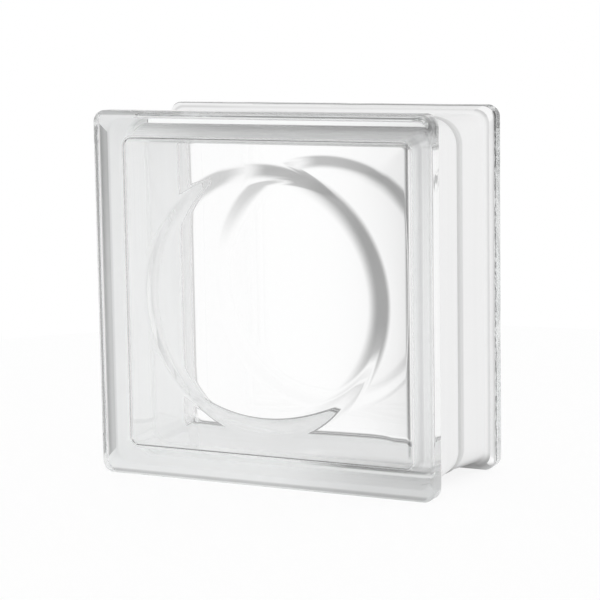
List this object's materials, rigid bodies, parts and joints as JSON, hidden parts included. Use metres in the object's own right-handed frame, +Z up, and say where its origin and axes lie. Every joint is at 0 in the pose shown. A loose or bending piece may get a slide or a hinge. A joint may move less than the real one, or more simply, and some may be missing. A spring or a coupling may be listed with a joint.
{
  "type": "hollow glass block",
  "caption": "Square hollow building block of clear pressed glass, with flanged edges, a mortar channel all round and a round lens ring in each face.",
  "frame": {"origin": "middle of the block's footprint, on the level of its lower flange edges", "axes": "+Z up as the block stands, front face towards -Y, +X to the right seen from the front, seam plane at y = 0"},
  "size_m": [0.19, 0.09, 0.19],
  "materials": {
    "clear_glass": "clear pressed glass with fire-polished faces; the channel round the edge has a pale frosted bond coat"
  },
  "bodies": {
    "root": {"front_half": "clear_glass", "rear_half": "clear_glass"}
  },
  "joints": []
}
